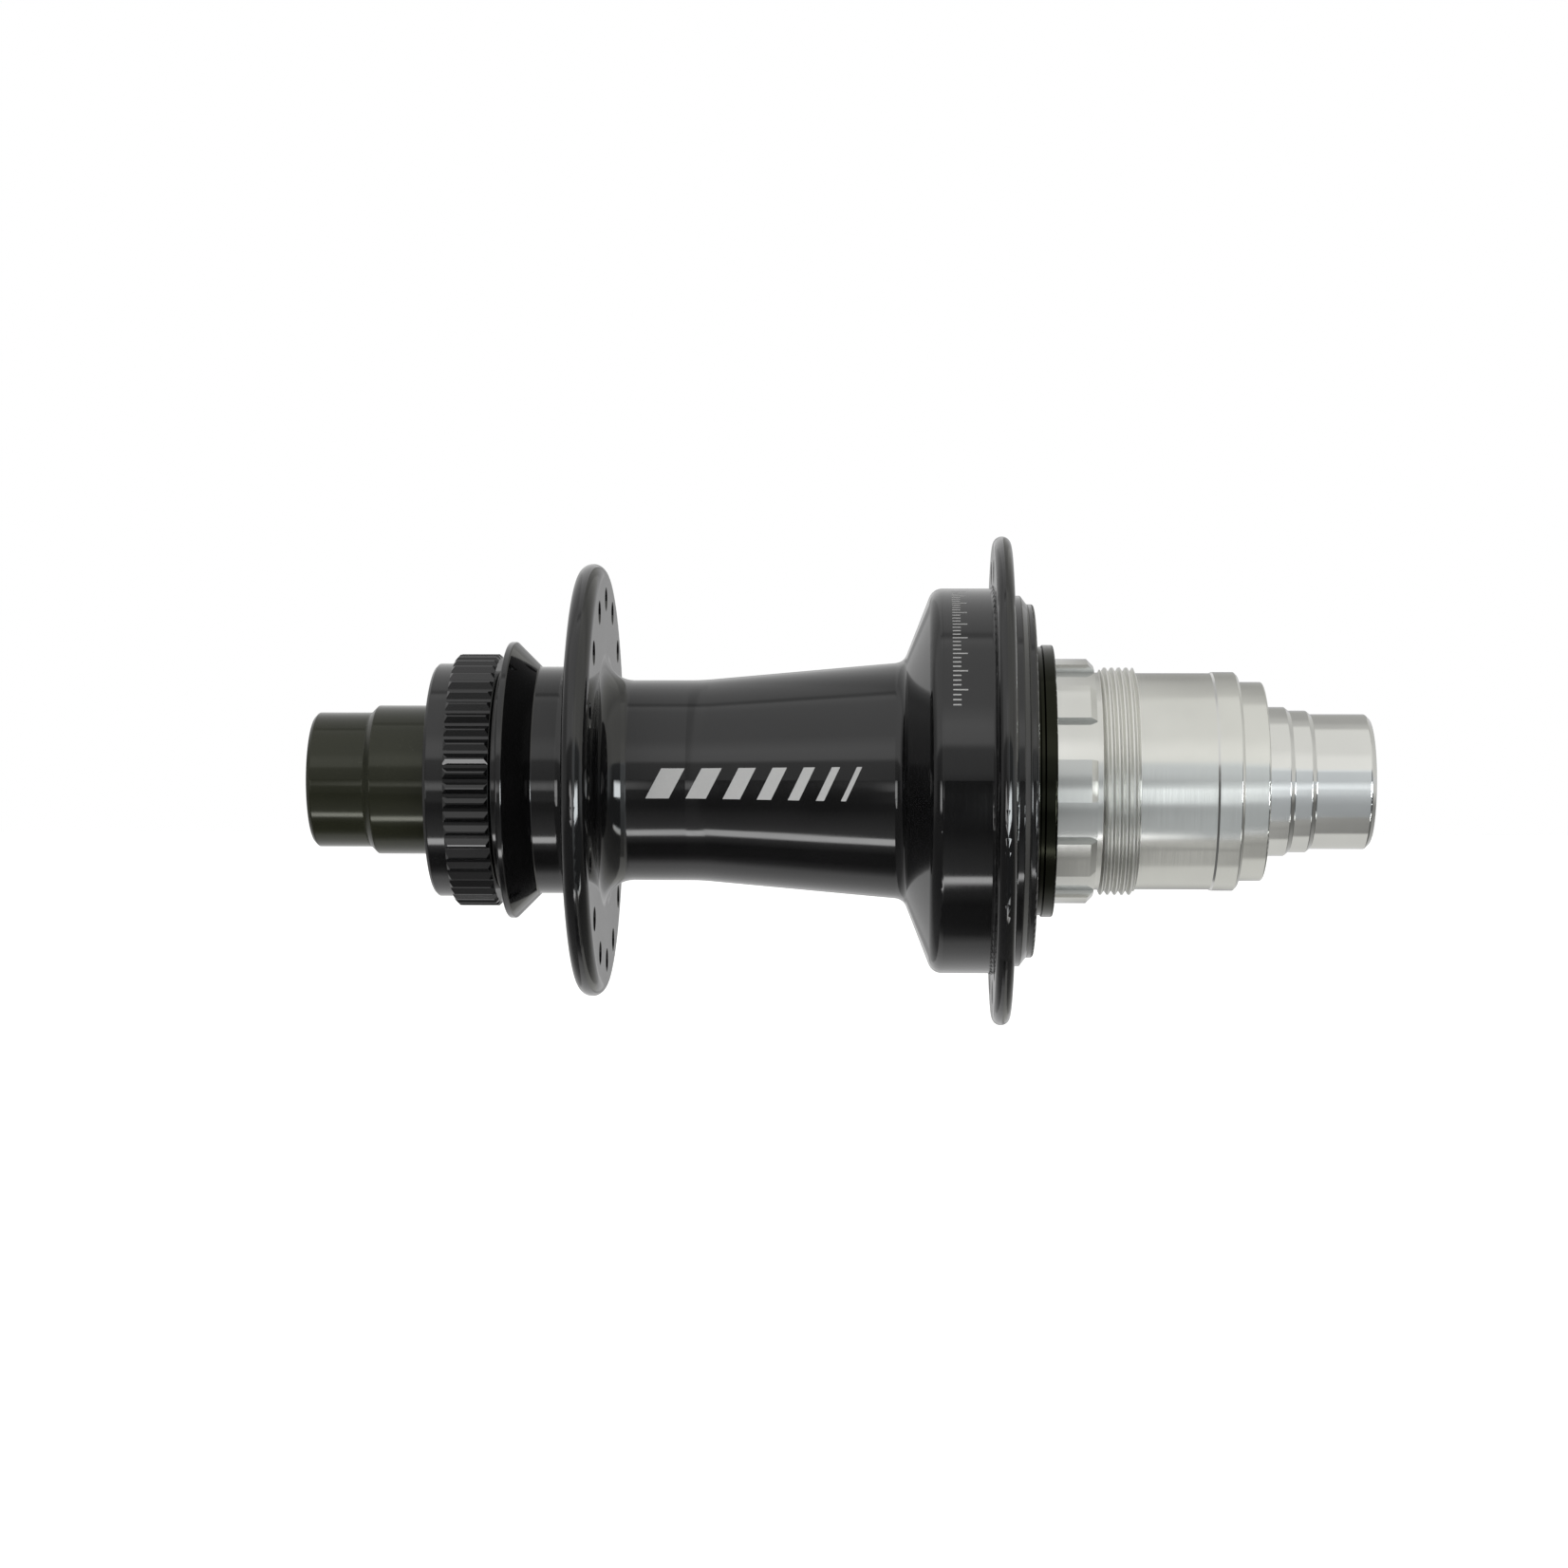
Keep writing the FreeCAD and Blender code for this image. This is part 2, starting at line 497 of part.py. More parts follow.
def make_circlip():
    """An open spring ring in the freehub's bore that holds the inner bearing in."""
    ring = tube(12.66, 13.44, 11.75, SMALL_BEARING["outer"] + 0.55)
    gap = Part.makeBox(2.0, 4.0, 5.0, V(12.0, -15.0, -2.5))
    return ring.cut(gap)


# ---- all the pieces -----------------------------------------------------------------------------
def all_pieces():
    drive_bearing_end = DRIVE_BEARING_X + LARGE_BEARING["width"]
    inner_bearing_end = FREEHUB_INNER_BEARING_X + SMALL_BEARING["width"]
    spacer_bore = AXLE_SEAT_R + FIT
    pieces = {
        "hub_shell": make_hub_shell(),
        "ratchet_ring": make_ratchet_ring(),
        "labyrinth_seal_shell": make_shell_labyrinth(),
        "axle": make_axle(),
        "left_end_cap": make_left_cap(),
        "left_end_cap_o_ring": make_o_ring(-1),
        "drive_end_cap": make_drive_cap(),
        "drive_end_cap_o_ring": make_o_ring(1),
        "drive_side_spacer": tube(drive_bearing_end, FREEHUB_INNER_BEARING_X, spacer_bore, 10.2, 0.2),
        "freehub_bearing_spacer": tube(inner_bearing_end, FREEHUB_OUTER_BEARING_X, spacer_bore, 9.6),
        "freehub_body": make_freehub_body(),
        "labyrinth_seal_freehub": make_freehub_labyrinth(),
        "freehub_circlip": make_circlip(),
    }
    bearings = {
        "left_bearing": (SMALL_BEARING, LEFT_BEARING_X),
        "drive_bearing": (LARGE_BEARING, DRIVE_BEARING_X),
        "freehub_inner_bearing": (SMALL_BEARING, FREEHUB_INNER_BEARING_X),
        "freehub_outer_bearing": (SMALL_BEARING, FREEHUB_OUTER_BEARING_X),
    }
    for name, (kind, start) in bearings.items():
        for part, shape in make_bearing(kind, start).items():
            pieces[f"{name}_{part}"] = shape
    for name, angle in PAWL_ANGLES.items():
        pieces[f"pawl_{name}"] = make_pawl(angle)
        pieces[f"pawl_spring_{name}"] = make_pawl_spring(angle)
    return pieces


os.makedirs("parts", exist_ok=True)
for node, solid in all_pieces().items():
    if not solid.isValid() or solid.Volume <= 0:
        print("CHECK", node, solid.isValid(), solid.Volume)
    solid.exportStep(f"parts/{node}.step")
    print(f"{node:36s} {len(solid.Solids):3d} solids {solid.Volume:10.1f} mm3")
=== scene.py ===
import json
import math

import bpy
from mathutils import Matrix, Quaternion, Vector
from mathutils.bvhtree import BVHTree


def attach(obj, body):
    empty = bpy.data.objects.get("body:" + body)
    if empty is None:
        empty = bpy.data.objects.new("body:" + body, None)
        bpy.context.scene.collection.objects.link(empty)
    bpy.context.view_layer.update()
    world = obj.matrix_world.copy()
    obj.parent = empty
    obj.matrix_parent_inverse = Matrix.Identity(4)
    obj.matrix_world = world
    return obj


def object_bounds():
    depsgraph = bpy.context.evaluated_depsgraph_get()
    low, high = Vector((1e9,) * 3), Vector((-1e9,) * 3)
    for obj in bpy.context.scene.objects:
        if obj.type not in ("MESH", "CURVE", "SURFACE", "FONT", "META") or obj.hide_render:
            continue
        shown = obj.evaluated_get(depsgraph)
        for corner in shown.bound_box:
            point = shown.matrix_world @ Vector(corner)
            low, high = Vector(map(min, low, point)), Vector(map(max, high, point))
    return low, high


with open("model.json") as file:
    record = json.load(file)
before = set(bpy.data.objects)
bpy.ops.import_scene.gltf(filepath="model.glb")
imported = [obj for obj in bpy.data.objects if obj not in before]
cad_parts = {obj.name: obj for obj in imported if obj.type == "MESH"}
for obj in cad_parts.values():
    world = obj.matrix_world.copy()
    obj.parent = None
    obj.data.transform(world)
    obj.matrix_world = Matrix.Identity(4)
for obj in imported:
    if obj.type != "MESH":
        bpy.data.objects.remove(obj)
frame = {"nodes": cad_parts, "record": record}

cad_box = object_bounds()
MM = 0.001

# The hub's axis is X, with the disc side at -X and the drive side at +X. An angle round the axis runs from
# -Y, which faces the camera, towards +Z.
CAMERA_X, CAMERA_DISTANCE = 9.0 * MM, 450.0 * MM
AIM = Vector((-7.82 * MM, 0.0, -0.5 * MM))
CAMERA_ROLL = math.radians(0.13)
LENS_MM, SENSOR_MM = 73.35, 36.0
CLIP_START, CLIP_END = 10.0 * MM, 20.0
FLOOR_BELOW_HUB, FLOOR_HALF_SIZE = 75.0 * MM, 6.0
PAPER_WHITE, PAPER_ROUGHNESS, PAPER_GLOW = 0.9, 0.9, 0.5


# ---- node helpers ----------------------------------------------------------------------------------
def math_node(tree, operation, *values):
    node = tree.nodes.new("ShaderNodeMath")
    node.operation = operation
    for socket, value in zip(node.inputs, values):
        if isinstance(value, (int, float)):
            socket.default_value = value
        else:
            tree.links.new(value, socket)
    return node.outputs[0]


def map_range(tree, value, from_min, from_max, to_min=0.0, to_max=1.0):
    """The value's place between two limits, clamped to the new limits."""
    node = tree.nodes.new("ShaderNodeMapRange")
    names = ("From Min", "From Max", "To Min", "To Max")
    for name, limit in zip(names, (from_min, from_max, to_min, to_max)):
        node.inputs[name].default_value = limit
    tree.links.new(value, node.inputs["Value"])
    return node.outputs["Result"]


def mix(tree, factor, a, b):
    """A blend of two numbers."""
    node = tree.nodes.new("ShaderNodeMix")
    for name, value in (("Factor", factor), ("A", a), ("B", b)):
        if isinstance(value, (int, float)):
            node.inputs[name].default_value = value
        else:
            tree.links.new(value, node.inputs[name])
    return node.outputs["Result"]


def mix_colour(tree, factor, a, b):
    """A blend of two colours, each a triple or a socket."""
    node = tree.nodes.new("ShaderNodeMix")
    node.data_type = "RGBA"
    tree.links.new(factor, node.inputs[0])
    for socket, value in ((node.inputs[6], a), (node.inputs[7], b)):
        if isinstance(value, tuple):
            socket.default_value = (*value, 1)
        else:
            tree.links.new(value, socket)
    return node.outputs[2]


def new_material(name):
    material = bpy.data.materials.new(name)
    material.use_nodes = True
    return material, material.node_tree, material.node_tree.nodes["Principled BSDF"]


# ---- camera and floor ------------------------------------------------------------------------------
def make_camera():
    data = bpy.data.cameras.new("camera")
    data.lens = LENS_MM
    data.sensor_width = SENSOR_MM
    data.clip_start = CLIP_START
    data.clip_end = CLIP_END
    camera = bpy.data.objects.new("camera", data)
    bpy.context.scene.collection.objects.link(camera)
    camera.location = (CAMERA_X, -CAMERA_DISTANCE, 0.0)
    aimed = (AIM - camera.location).to_track_quat("-Z", "Y")
    camera.rotation_euler = (aimed @ Quaternion((0, 0, 1), CAMERA_ROLL)).to_euler()
    bpy.context.scene.camera = camera


def make_floor():
    size, height = FLOOR_HALF_SIZE, cad_box[0][2] - FLOOR_BELOW_HUB
    mesh = bpy.data.meshes.new("floor")
    corners = [(-size, -size, height), (size, -size, height), (size, size, height), (-size, size, height)]
    mesh.from_pydata(corners, [], [(0, 1, 2, 3)])
    floor = bpy.data.objects.new("floor", mesh)
    bpy.context.scene.collection.objects.link(floor)
    floor.visible_glossy = False
    material, tree, shader = new_material("floor_paper")
    shader.inputs["Base Color"].default_value = (PAPER_WHITE, PAPER_WHITE, PAPER_WHITE, 1)
    shader.inputs["Roughness"].default_value = PAPER_ROUGHNESS
    shader.inputs["Emission Color"].default_value = (1, 1, 1, 1)
    shader.inputs["Emission Strength"].default_value = PAPER_GLOW
    mesh.materials.append(material)


# ---- studio ----------------------------------------------------------------------------------------
# Brightness of the room against the angle round the hub's axis, in degrees: 0 is towards the camera, 90 is
# up, 180 is behind and -90 is down. The lists from LEFT to DRIVE_CAP are the stretches of the room that the
# hub's round surfaces mirror to the camera. The last three lists lie further out to the sides. A soft box
# hangs above, a thin lamp lies below the camera, a lamp stands on either side, and the rest is dark cloth.
LEFT = [
    (-180, 0.8), (-140, 0.74), (-112, 0.62), (-102, 0.16), (-94, 0.05), (-78, 0.06), (-70, 0.3),
    (-67.5, 0.42), (-66, 5.4), (-60.5, 5.4), (-59, 0.5), (-48, 0.34), (-30, 0.15), (-23, 0.15), (-21, 0.3),
    (-11, 0.32), (-9.5, 1.6), (-6.5, 1.6), (-5, 0.2), (-1, 0.3), (2, 0.4), (19, 0.52), (22, 1.1),
    (33, 1.15), (46, 0.9), (84, 0.9), (92, 1.06), (94.5, 0.52), (97, 0.52), (100, 0.8), (155, 0.88),
    (180, 0.8),
]
BOSS_SHADE = 0.74  # the flange keeps some of the light above from the boss beside it
BOSS = [(degrees, level * BOSS_SHADE if 0 < degrees < 150 else level) for degrees, level in LEFT]
MIDDLE = [
    (-180, 0.45), (-170, 0.45), (-164, 0.78), (-140, 0.74), (-112, 0.62), (-102, 0.16), (-94, 0.05),
    (-78, 0.04), (-69, 0.3), (-66.5, 0.4), (-65.3, 4.8), (-59, 4.8), (-57.5, 0.5), (-48, 0.3), (-30, 0.08),
    (-18, 0.07), (-8, 0.16), (-1, 0.07), (2, 0.1), (5, 0.46), (19, 0.52), (22, 1.12), (33, 1.2), (46, 0.88),
    (84, 0.86), (92, 1.0), (94.5, 0.52), (97, 0.52), (100, 0.76), (164, 0.86), (170, 0.45), (180, 0.45),
]
HOUSING = [
    (-180, 0.45), (-170, 0.45), (-164, 0.78), (-140, 0.74), (-112, 0.5), (-103.5, 0.1), (-94, 0.05),
    (-78, 0.04), (-66, 0.2), (-63.6, 0.25), (-62.8, 5.5), (-59, 5.5), (-58, 0.34), (-48, 0.24), (-30, 0.06),
    (-18, 0.05), (-8, 0.08), (-1, 0.05), (2, 0.08), (5, 0.44), (19, 0.52), (22, 1.15), (33, 1.25),
    (46, 0.9), (84, 0.88), (92, 1.02), (94.5, 0.54), (97, 0.54), (100, 0.78), (164, 0.86), (170, 0.45),
    (180, 0.45),
]
FREEHUB = [
    (-180, 0.4), (-160, 0.45), (-140, 0.74), (-104, 0.78), (-101, 0.62), (-79, 0.66), (-77.5, 0.42),
    (-75, 0.6), (-72, 0.72), (-66, 0.7), (-64, 0.56), (-56, 0.68), (-40, 0.66), (-31, 0.56), (-26, 0.62),
    (-22.5, 1.3), (-20, 1.55), (-8, 1.7), (-6, 0.66), (4.5, 0.66), (6, 0.84), (19, 0.88), (21.5, 0.95),
    (30, 0.93), (44, 0.85), (97, 0.84), (101, 0.72), (112, 0.64), (124, 0.58), (140, 0.42), (180, 0.43),
]
DRIVE_CAP = [
    (-180, 0.7), (-104, 0.78), (-101, 0.74), (-98.5, 0.3), (-80, 0.32), (-65, 0.34), (-62.5, 0.4),
    (-40, 0.46), (-24, 0.68), (-14, 0.86), (-11.5, 1.2), (-6, 1.22), (-5, 0.75), (16, 0.8), (17.5, 1.08),
    (40, 1.06), (50, 0.93), (98, 0.92), (103, 0.62), (112, 0.58), (120, 0.48), (150, 0.47), (180, 0.6),
]
LEFT_LAMP = [
    (-180, 0.7), (-150, 0.45), (-125, 0.2), (-60, 0.12), (-20, 0.12), (-18, 3.5), (-6, 3.5), (-4, 0.2),
    (18, 0.3), (24, 0.95), (94, 0.85), (110, 0.6), (180, 0.7),
]
RIGHT_LAMPS = [
    (-180, 0.7), (-150, 0.45), (-125, 0.2), (-67, 0.12), (-66, 4.5), (-60.5, 4.5), (-59.5, 0.12),
    (-22, 0.12), (-20, 12.0), (-7, 12.0), (-5, 0.2), (18, 0.3), (24, 0.95), (94, 0.85), (110, 0.6),
    (180, 0.7),
]
FAR_SIDES = [
    (-180, 0.7), (-150, 0.45), (-125, 0.2), (-60, 0.12), (-6, 0.12), (18, 0.3), (24, 0.95), (94, 0.85),
    (110, 0.6), (180, 0.7),
]
# The limits are where one light blends into the next. They are sideways parts of the direction, apart from
# FLOOR_LIMITS, which are upward parts, and the three pairs of angles, in degrees round the axis.
FREEHUB_LIMITS = (0.043, 0.056)
STRETCHES = [  # MIDDLE is the whole room at first, and each row then takes over from its limits onwards
    ((-0.187, -0.177), LEFT), ((-0.119, -0.117), BOSS), ((-0.088, -0.076), MIDDLE),
    ((0.004, 0.008), HOUSING), (FREEHUB_LIMITS, FREEHUB), ((0.1, 0.114), DRIVE_CAP),
    ((-0.26, -0.29), LEFT_LAMP), ((0.26, 0.29), RIGHT_LAMPS),
    ((-0.46, -0.52), FAR_SIDES), ((0.62, 0.7), FAR_SIDES),
]
ENDS = [((-0.75, -0.93), 0.4), ((0.75, 0.93), 0.75)]  # the limits and the brightness of the room's two ends
FLOOR_LIMITS = (-0.3, -0.12)
NEUTRAL_LIGHT, WARM_LIGHT, COOL_LIGHT = (1.0, 1.0, 1.0), (1.0, 1.0, 0.955), (0.93, 0.98, 1.0)
COOL_BOTTOM_ANGLES, COOL_TOP_ANGLES, NEUTRAL_BACK_ANGLES = (-66, -60), (22, 17), (153, 162)


def brightness(tree, turn, stops):
    """The brightness round the axis that a list of stops gives."""
    peak = max(level for _, level in stops)
    node = tree.nodes.new("ShaderNodeValToRGB")
    elements = node.color_ramp.elements
    while len(elements) < len(stops):
        elements.new(0.5)
    for element, (degrees, level) in zip(elements, stops):
        element.position = (degrees + 180) / 360
        element.color = (level / peak, level / peak, level / peak, 1)
    tree.links.new(turn, node.inputs[0])
    return math_node(tree, "MULTIPLY", node.outputs[0], peak)


def make_world():
    world = bpy.data.worlds.new("studio")
    bpy.context.scene.world = world
    world.use_nodes = True
    tree = world.node_tree
    tree.nodes.clear()
    direction = tree.nodes.new("ShaderNodeSeparateXYZ")
    tree.links.new(tree.nodes.new("ShaderNodeTexCoord").outputs["Generated"], direction.inputs[0])
    sideways, back, up = direction.outputs
    angle = math_node(tree, "ARCTAN2", up, math_node(tree, "MULTIPLY", back, -1))
    turn = math_node(tree, "MULTIPLY_ADD", angle, 1 / (2 * math.pi), 0.5)
    level = brightness(tree, turn, MIDDLE)
    for limits, stops in STRETCHES:
        level = mix(tree, map_range(tree, sideways, *limits), level, brightness(tree, turn, stops))
    above_floor = map_range(tree, up, *FLOOR_LIMITS)
    for limits, end_level in ENDS:
        at_end = math_node(tree, "MULTIPLY", map_range(tree, sideways, *limits), above_floor)
        level = mix(tree, at_end, level, end_level)
    above_bottom = map_range(tree, angle, *map(math.radians, COOL_BOTTOM_ANGLES))
    below_top = map_range(tree, angle, *map(math.radians, COOL_TOP_ANGLES))
    in_front = math_node(tree, "MULTIPLY", above_bottom, below_top)
    behind = map_range(tree, math_node(tree, "ABSOLUTE", angle), *map(math.radians, NEUTRAL_BACK_ANGLES))
    tint = mix_colour(tree, behind, mix_colour(tree, in_front, WARM_LIGHT, COOL_LIGHT), NEUTRAL_LIGHT)
    colour = mix_colour(tree, map_range(tree, sideways, *FREEHUB_LIMITS), NEUTRAL_LIGHT, tint)
    studio = tree.nodes.new("ShaderNodeBackground")
    tree.links.new(colour, studio.inputs["Color"])
    tree.links.new(level, studio.inputs["Strength"])
    paper = tree.nodes.new("ShaderNodeBackground")
    paper.inputs["Color"].default_value = (*NEUTRAL_LIGHT, 1)
    choice = tree.nodes.new("ShaderNodeMixShader")
    tree.links.new(tree.nodes.new("ShaderNodeLightPath").outputs["Is Camera Ray"], choice.inputs[0])
    tree.links.new(studio.outputs[0], choice.inputs[1])
    tree.links.new(paper.outputs[0], choice.inputs[2])
    tree.links.new(choice.outputs[0], tree.nodes.new("ShaderNodeOutputWorld").inputs[0])


# ---- materials -------------------------------------------------------------------------------------
# Limits are values of a noise, from 0 to 1, and shares are parts of a sum or blend.
HAZE_SIZE, HAZE_LIMITS = 9.0 * MM, (0.3, 0.7)
MARKS_PER_TURN, RINGS_PER_TURN = 2.5, 0.6
MARK_SHARE, HAZE_SHARE, UNEVENNESS_LIMITS = 0.45, 0.55, (0.35, 0.65)
SCRATCH_SIZE, SCRATCH_HALF_WIDTH = 2.4 * MM, 0.004  # the width is a difference in the noise's value
SCRATCH_PATCH_SIZE, SCRATCH_PATCH_LIMITS = 7.0 * MM, (0.56, 0.66)
SCRATCH_COLOUR_SHARE, SCRATCH_ROUGHNESS = 0.35, 0.12
CUT_COLOUR, CUT_ROUGHNESS, CUT_BLEND = (0.82, 0.82, 0.79), 0.4, 0.1 * MM
THREAD_START, THREAD_END = 36.2 * MM, 41.3 * MM
SMALLEST_RADIUS = 0.01 * MM
STEEL_GRAIN_SIZE, STEEL_GRAIN_DEPTH = 0.25 * MM, 0.0015 * MM
OIL_SIZE, OIL_LIMITS, OIL_ROUGHNESS = 3.0 * MM, (0.42, 0.6), 0.08
BLOOM_SIZE, BLOOM_LIMITS = 4.0 * MM, (0.35, 0.7)


def around_the_axis(tree):
    """Sockets for a place on a turned part: along the axis, the radius, and the angle's cosine and sine."""
    place = tree.nodes.new("ShaderNodeSeparateXYZ")
    tree.links.new(tree.nodes.new("ShaderNodeTexCoord").outputs["Object"], place.inputs[0])
    x, y, z = place.outputs
    squares = math_node(tree, "ADD", math_node(tree, "MULTIPLY", y, y), math_node(tree, "MULTIPLY", z, z))
    radius = math_node(tree, "MAXIMUM", math_node(tree, "SQRT", squares), SMALLEST_RADIUS)
    return x, radius, math_node(tree, "DIVIDE", y, radius), math_node(tree, "DIVIDE", z, radius)


def turning_marks(tree, place, width, around, detail):
    """Noise drawn out round the axis, like a lathe tool's marks, of a given width and number per turn."""
    x, radius, cosine, sine = place
    vector = tree.nodes.new("ShaderNodeCombineXYZ")
    tree.links.new(math_node(tree, "MULTIPLY", x, 1 / width), vector.inputs[0])
    tree.links.new(math_node(tree, "MULTIPLY", cosine, around), vector.inputs[1])
    tree.links.new(math_node(tree, "MULTIPLY", sine, around), vector.inputs[2])
    noise = tree.nodes.new("ShaderNodeTexNoise")
    noise.noise_dimensions = "4D"
    noise.inputs["Scale"].default_value = 1.0
    noise.inputs["Detail"].default_value = detail
    tree.links.new(vector.outputs[0], noise.inputs["Vector"])
    tree.links.new(math_node(tree, "MULTIPLY", radius, 1 / width), noise.inputs["W"])
    return noise.outputs["Fac"]


def clouds(tree, size, detail=3.0, distortion=0.0):
    """Noise of a given size, with no direction."""
    noise = tree.nodes.new("ShaderNodeTexNoise")
    noise.inputs["Scale"].default_value = 1 / size
    noise.inputs["Detail"].default_value = detail
    noise.inputs["Distortion"].default_value = distortion
    tree.links.new(tree.nodes.new("ShaderNodeTexCoord").outputs["Object"], noise.inputs["Vector"])
    return noise.outputs["Fac"]


def bump(tree, shader, height, depth):
    """The height socket as a relief of the given depth."""
    node = tree.nodes.new("ShaderNodeBump")
    node.inputs["Distance"].default_value = depth
    node.inputs["Strength"].default_value = 1.0
    tree.links.new(height, node.inputs["Height"])
    tree.links.new(node.outputs[0], shader.inputs["Normal"])


def scratches(tree):
    """Sparse fine lines, where a distorted noise crosses its middle value, within scattered patches."""
    fine = clouds(tree, SCRATCH_SIZE, detail=1.0, distortion=2.5)
    off_middle = math_node(tree, "ABSOLUTE", math_node(tree, "SUBTRACT", fine, 0.5))
    line = map_range(tree, off_middle, SCRATCH_HALF_WIDTH, 0.0)
    patches = map_range(tree, clouds(tree, SCRATCH_PATCH_SIZE, detail=2.0), *SCRATCH_PATCH_LIMITS)
    return math_node(tree, "MULTIPLY", line, patches)


def turned_metal(name, light, dark, worn, metallic, roughness, mark_width, mark_depth, ior=1.5, cut=None):
    """A turned and finished metal: tool marks round the axis, uneven polish, and hair scratches.

    Light and dark are the colours it varies between, worn is the colour of the scratches, and roughness is
    (smoothest, roughest). Cut is (start, end) of a stretch along the axis that thread cutting left rough."""
    material, tree, shader = new_material(name)
    place = around_the_axis(tree)
    marks = turning_marks(tree, place, mark_width, MARKS_PER_TURN, 2.0)
    haze = clouds(tree, HAZE_SIZE, detail=4.0)
    hairs = scratches(tree)
    colour = mix_colour(tree, map_range(tree, haze, *HAZE_LIMITS), dark, light)
    colour = mix_colour(tree, math_node(tree, "MULTIPLY", hairs, SCRATCH_COLOUR_SHARE), colour, worn)
    unevenness = math_node(tree, "ADD", math_node(tree, "MULTIPLY", marks, MARK_SHARE),
                           math_node(tree, "MULTIPLY", haze, HAZE_SHARE))
    rough = map_range(tree, unevenness, *UNEVENNESS_LIMITS, *roughness)
    if cut:
        after_start = map_range(tree, place[0], cut[0] - CUT_BLEND, cut[0])
        before_end = map_range(tree, place[0], cut[1] + CUT_BLEND, cut[1])
        in_cut = math_node(tree, "MULTIPLY", after_start, before_end)
        colour = mix_colour(tree, in_cut, colour, CUT_COLOUR)
        rough = mix(tree, in_cut, rough, CUT_ROUGHNESS)
    rough = math_node(tree, "ADD", rough, math_node(tree, "MULTIPLY", hairs, SCRATCH_ROUGHNESS))
    tree.links.new(colour, shader.inputs["Base Color"])
    tree.links.new(rough, shader.inputs["Roughness"])
    shader.inputs["Metallic"].default_value = metallic
    shader.inputs["IOR"].default_value = ior
    bump(tree, shader, marks, mark_depth)
    return material


def ground_steel(name, light, dark, roughness, oil):
    """Hardened steel with a ground surface and patches of thin oil."""
    material, tree, shader = new_material(name)
    grain = clouds(tree, STEEL_GRAIN_SIZE, detail=4.0, distortion=0.6)
    patches = map_range(tree, clouds(tree, OIL_SIZE), *OIL_LIMITS)
    tree.links.new(mix_colour(tree, grain, dark, light), shader.inputs["Base Color"])
    shader.inputs["Metallic"].default_value = 1.0
    shader.inputs["Coat Roughness"].default_value = OIL_ROUGHNESS
    shader.inputs["Coat Weight"].default_value = oil
    tree.links.new(mix(tree, patches, *roughness), shader.inputs["Roughness"])
    bump(tree, shader, grain, STEEL_GRAIN_DEPTH)
    return material


def moulded(name, light, dark, roughness, grain_size, grain_depth, ring_width):
    """Moulded rubber or plastic: a fine grain, faint flow rings round the axis and an uneven sheen."""
    material, tree, shader = new_material(name)
    grain = clouds(tree, grain_size)
    rings = turning_marks(tree, around_the_axis(tree), ring_width, RINGS_PER_TURN, 1.0)
    bloom = clouds(tree, BLOOM_SIZE, detail=4.0)
    colour = mix_colour(tree, map_range(tree, bloom, *BLOOM_LIMITS), dark, light)
    tree.links.new(colour, shader.inputs["Base Color"])
    tree.links.new(map_range(tree, bloom, *HAZE_LIMITS, *roughness), shader.inputs["Roughness"])
    bump(tree, shader, math_node(tree, "MULTIPLY", math_node(tree, "ADD", grain, rings), 0.5), grain_depth)
    return material


def make_materials():
    """One material for each of the record's slots."""
    return {
        "shell_black": turned_metal(
            "shell_black", (0.0052, 0.0052, 0.0056), (0.0034, 0.0034, 0.0036), worn=(0.03, 0.03, 0.03),
            metallic=0.0, roughness=(0.06, 0.105), mark_width=0.12 * MM, mark_depth=0.00012 * MM, ior=1.6),
        "dark_cap": turned_metal(
            "dark_cap", (0.0268, 0.0285, 0.0165), (0.0225, 0.024, 0.014), worn=(0.12, 0.12, 0.1),
            metallic=0.4, roughness=(0.1, 0.15), mark_width=0.15 * MM, mark_depth=0.00015 * MM),
        "dark_seal": turned_metal(
            "dark_seal", (0.021, 0.022, 0.0155), (0.016, 0.017, 0.012), worn=(0.04, 0.04, 0.035),
            metallic=1.0, roughness=(0.12, 0.2), mark_width=0.12 * MM, mark_depth=0.0002 * MM),
        "silver_alloy": turned_metal(
            "silver_alloy", (0.7, 0.7, 0.69), (0.66, 0.66, 0.655), worn=(0.5, 0.5, 0.5),
            metallic=1.0, roughness=(0.08, 0.14), mark_width=0.12 * MM, mark_depth=0.00025 * MM),
        "freehub_alloy": turned_metal(
            "freehub_alloy", (0.7, 0.7, 0.675), (0.66, 0.66, 0.64), worn=(0.5, 0.5, 0.48),
            metallic=1.0, roughness=(0.11, 0.18), mark_width=0.14 * MM, mark_depth=0.0003 * MM,
            cut=(THREAD_START, THREAD_END)),
        "bearing_steel": turned_metal(
            "bearing_steel", (0.62, 0.62, 0.62), (0.55, 0.55, 0.55), worn=(0.45, 0.45, 0.45),
            metallic=1.0, roughness=(0.07, 0.16), mark_width=0.06 * MM, mark_depth=0.00008 * MM),
        "tool_steel": ground_steel(
            "tool_steel", (0.42, 0.41, 0.4), (0.26, 0.26, 0.26), roughness=(0.22, 0.38), oil=0.5),
        "spring_steel": ground_steel(
            "spring_steel", (0.4, 0.37, 0.33), (0.24, 0.22, 0.22), roughness=(0.2, 0.3), oil=0.3),
        "cage_polymer": moulded(
            "cage_polymer", (0.34, 0.27, 0.16), (0.26, 0.2, 0.12), roughness=(0.38, 0.52),
            grain_size=0.2 * MM, grain_depth=0.004 * MM, ring_width=0.5 * MM),
        "seal_rubber": moulded(
            "seal_rubber", (0.02, 0.02, 0.02), (0.009, 0.009, 0.009), roughness=(0.42, 0.62),
            grain_size=0.15 * MM, grain_depth=0.006 * MM, ring_width=0.6 * MM),
    }


